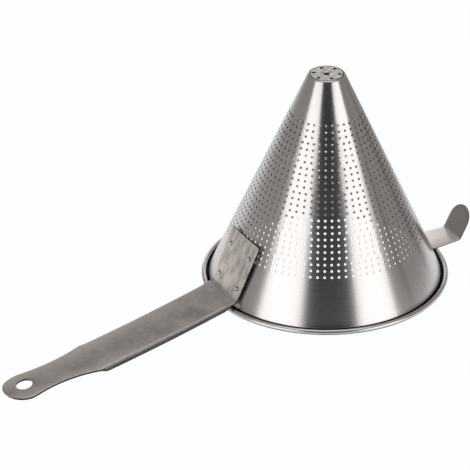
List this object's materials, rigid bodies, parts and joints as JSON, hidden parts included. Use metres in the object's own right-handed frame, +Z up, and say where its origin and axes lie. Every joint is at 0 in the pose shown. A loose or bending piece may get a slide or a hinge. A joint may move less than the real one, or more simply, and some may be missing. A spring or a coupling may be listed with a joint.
{
  "type": "chinois strainer",
  "caption": "Conical stainless steel strainer with a perforated wall, a curled rim, a long riveted handle with a hanging hole, and a hook that rests on a pot.",
  "frame": {"origin": "on the cone's axis in the plane of the rim's underside", "axes": "+Z up the cone's axis to its closed tip, as the picture shows it set down on its rim; -X along the handle; +X to the pan hook"},
  "size_m": [0.4197, 0.2, 0.2103],
  "materials": {
    "cone_steel": "bright stainless steel with fine brushing round the cone",
    "disc_steel": "plain stainless steel, slightly blotchy",
    "handle_steel": "matte satin stainless steel",
    "hook_steel": "satin stainless steel",
    "rivet_steel": "bright stainless steel rivet head"
  },
  "bodies": {
    "root": {"cone_shell": "cone_steel", "tip_disc": "disc_steel", "handle": "handle_steel", "pan_hook": "hook_steel", "handle_rivet_1": "rivet_steel", "handle_rivet_2": "rivet_steel", "handle_rivet_3": "rivet_steel", "handle_rivet_4": "rivet_steel", "hook_rivet_1": "rivet_steel", "hook_rivet_2": "rivet_steel"}
  },
  "joints": []
}
